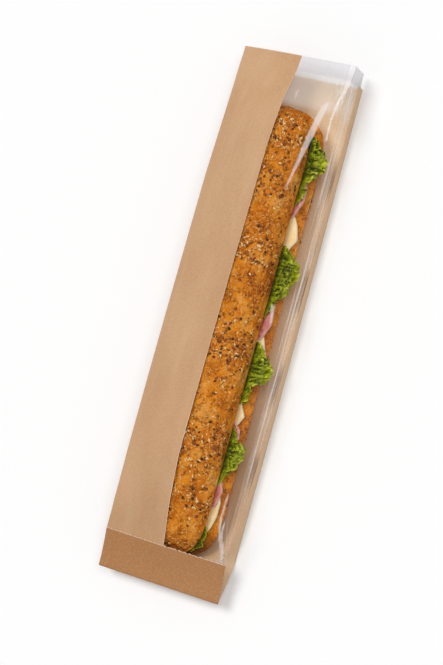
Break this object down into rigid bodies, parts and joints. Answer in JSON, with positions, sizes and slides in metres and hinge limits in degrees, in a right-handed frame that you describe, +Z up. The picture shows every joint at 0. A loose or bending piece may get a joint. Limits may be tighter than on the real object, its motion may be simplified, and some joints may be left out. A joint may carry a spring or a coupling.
{
  "type": "window bag",
  "caption": "Long side-gusset paper bread bag with a clear film window, lying on its back and holding a filled baguette.",
  "frame": {"origin": "centre of the bag's outline at the height of the face it lies on", "axes": "+X across the bag towards the film window, +Y along the bag from the bottom fold to the mouth, +Z up out of the front"},
  "size_m": [0.1, 0.416, 0.0473],
  "materials": {
    "kraft_paper": "matt brown kraft paper",
    "clear_film": "thin clear glossy film",
    "bread_crust": "baked crust with sesame and dark seeds",
    "cheese": "smooth pale cheese",
    "ham": "moist cooked ham",
    "lettuce": "fresh frilly lettuce"
  },
  "bodies": {
    "root": {"kraft_sheet": "kraft_paper", "window_film": "clear_film", "bread_bottom": "bread_crust", "bread_top": "bread_crust", "cheese_slice_1": "cheese", "cheese_slice_2": "cheese", "cheese_slice_3": "cheese", "cheese_slice_4": "cheese", "ham_slice_1": "ham", "ham_slice_2": "ham", "ham_slice_3": "ham", "ham_slice_4": "ham", "lettuce_leaf_1": "lettuce", "lettuce_leaf_2": "lettuce", "lettuce_leaf_3": "lettuce", "lettuce_leaf_4": "lettuce", "lettuce_leaf_5": "lettuce"}
  },
  "joints": []
}
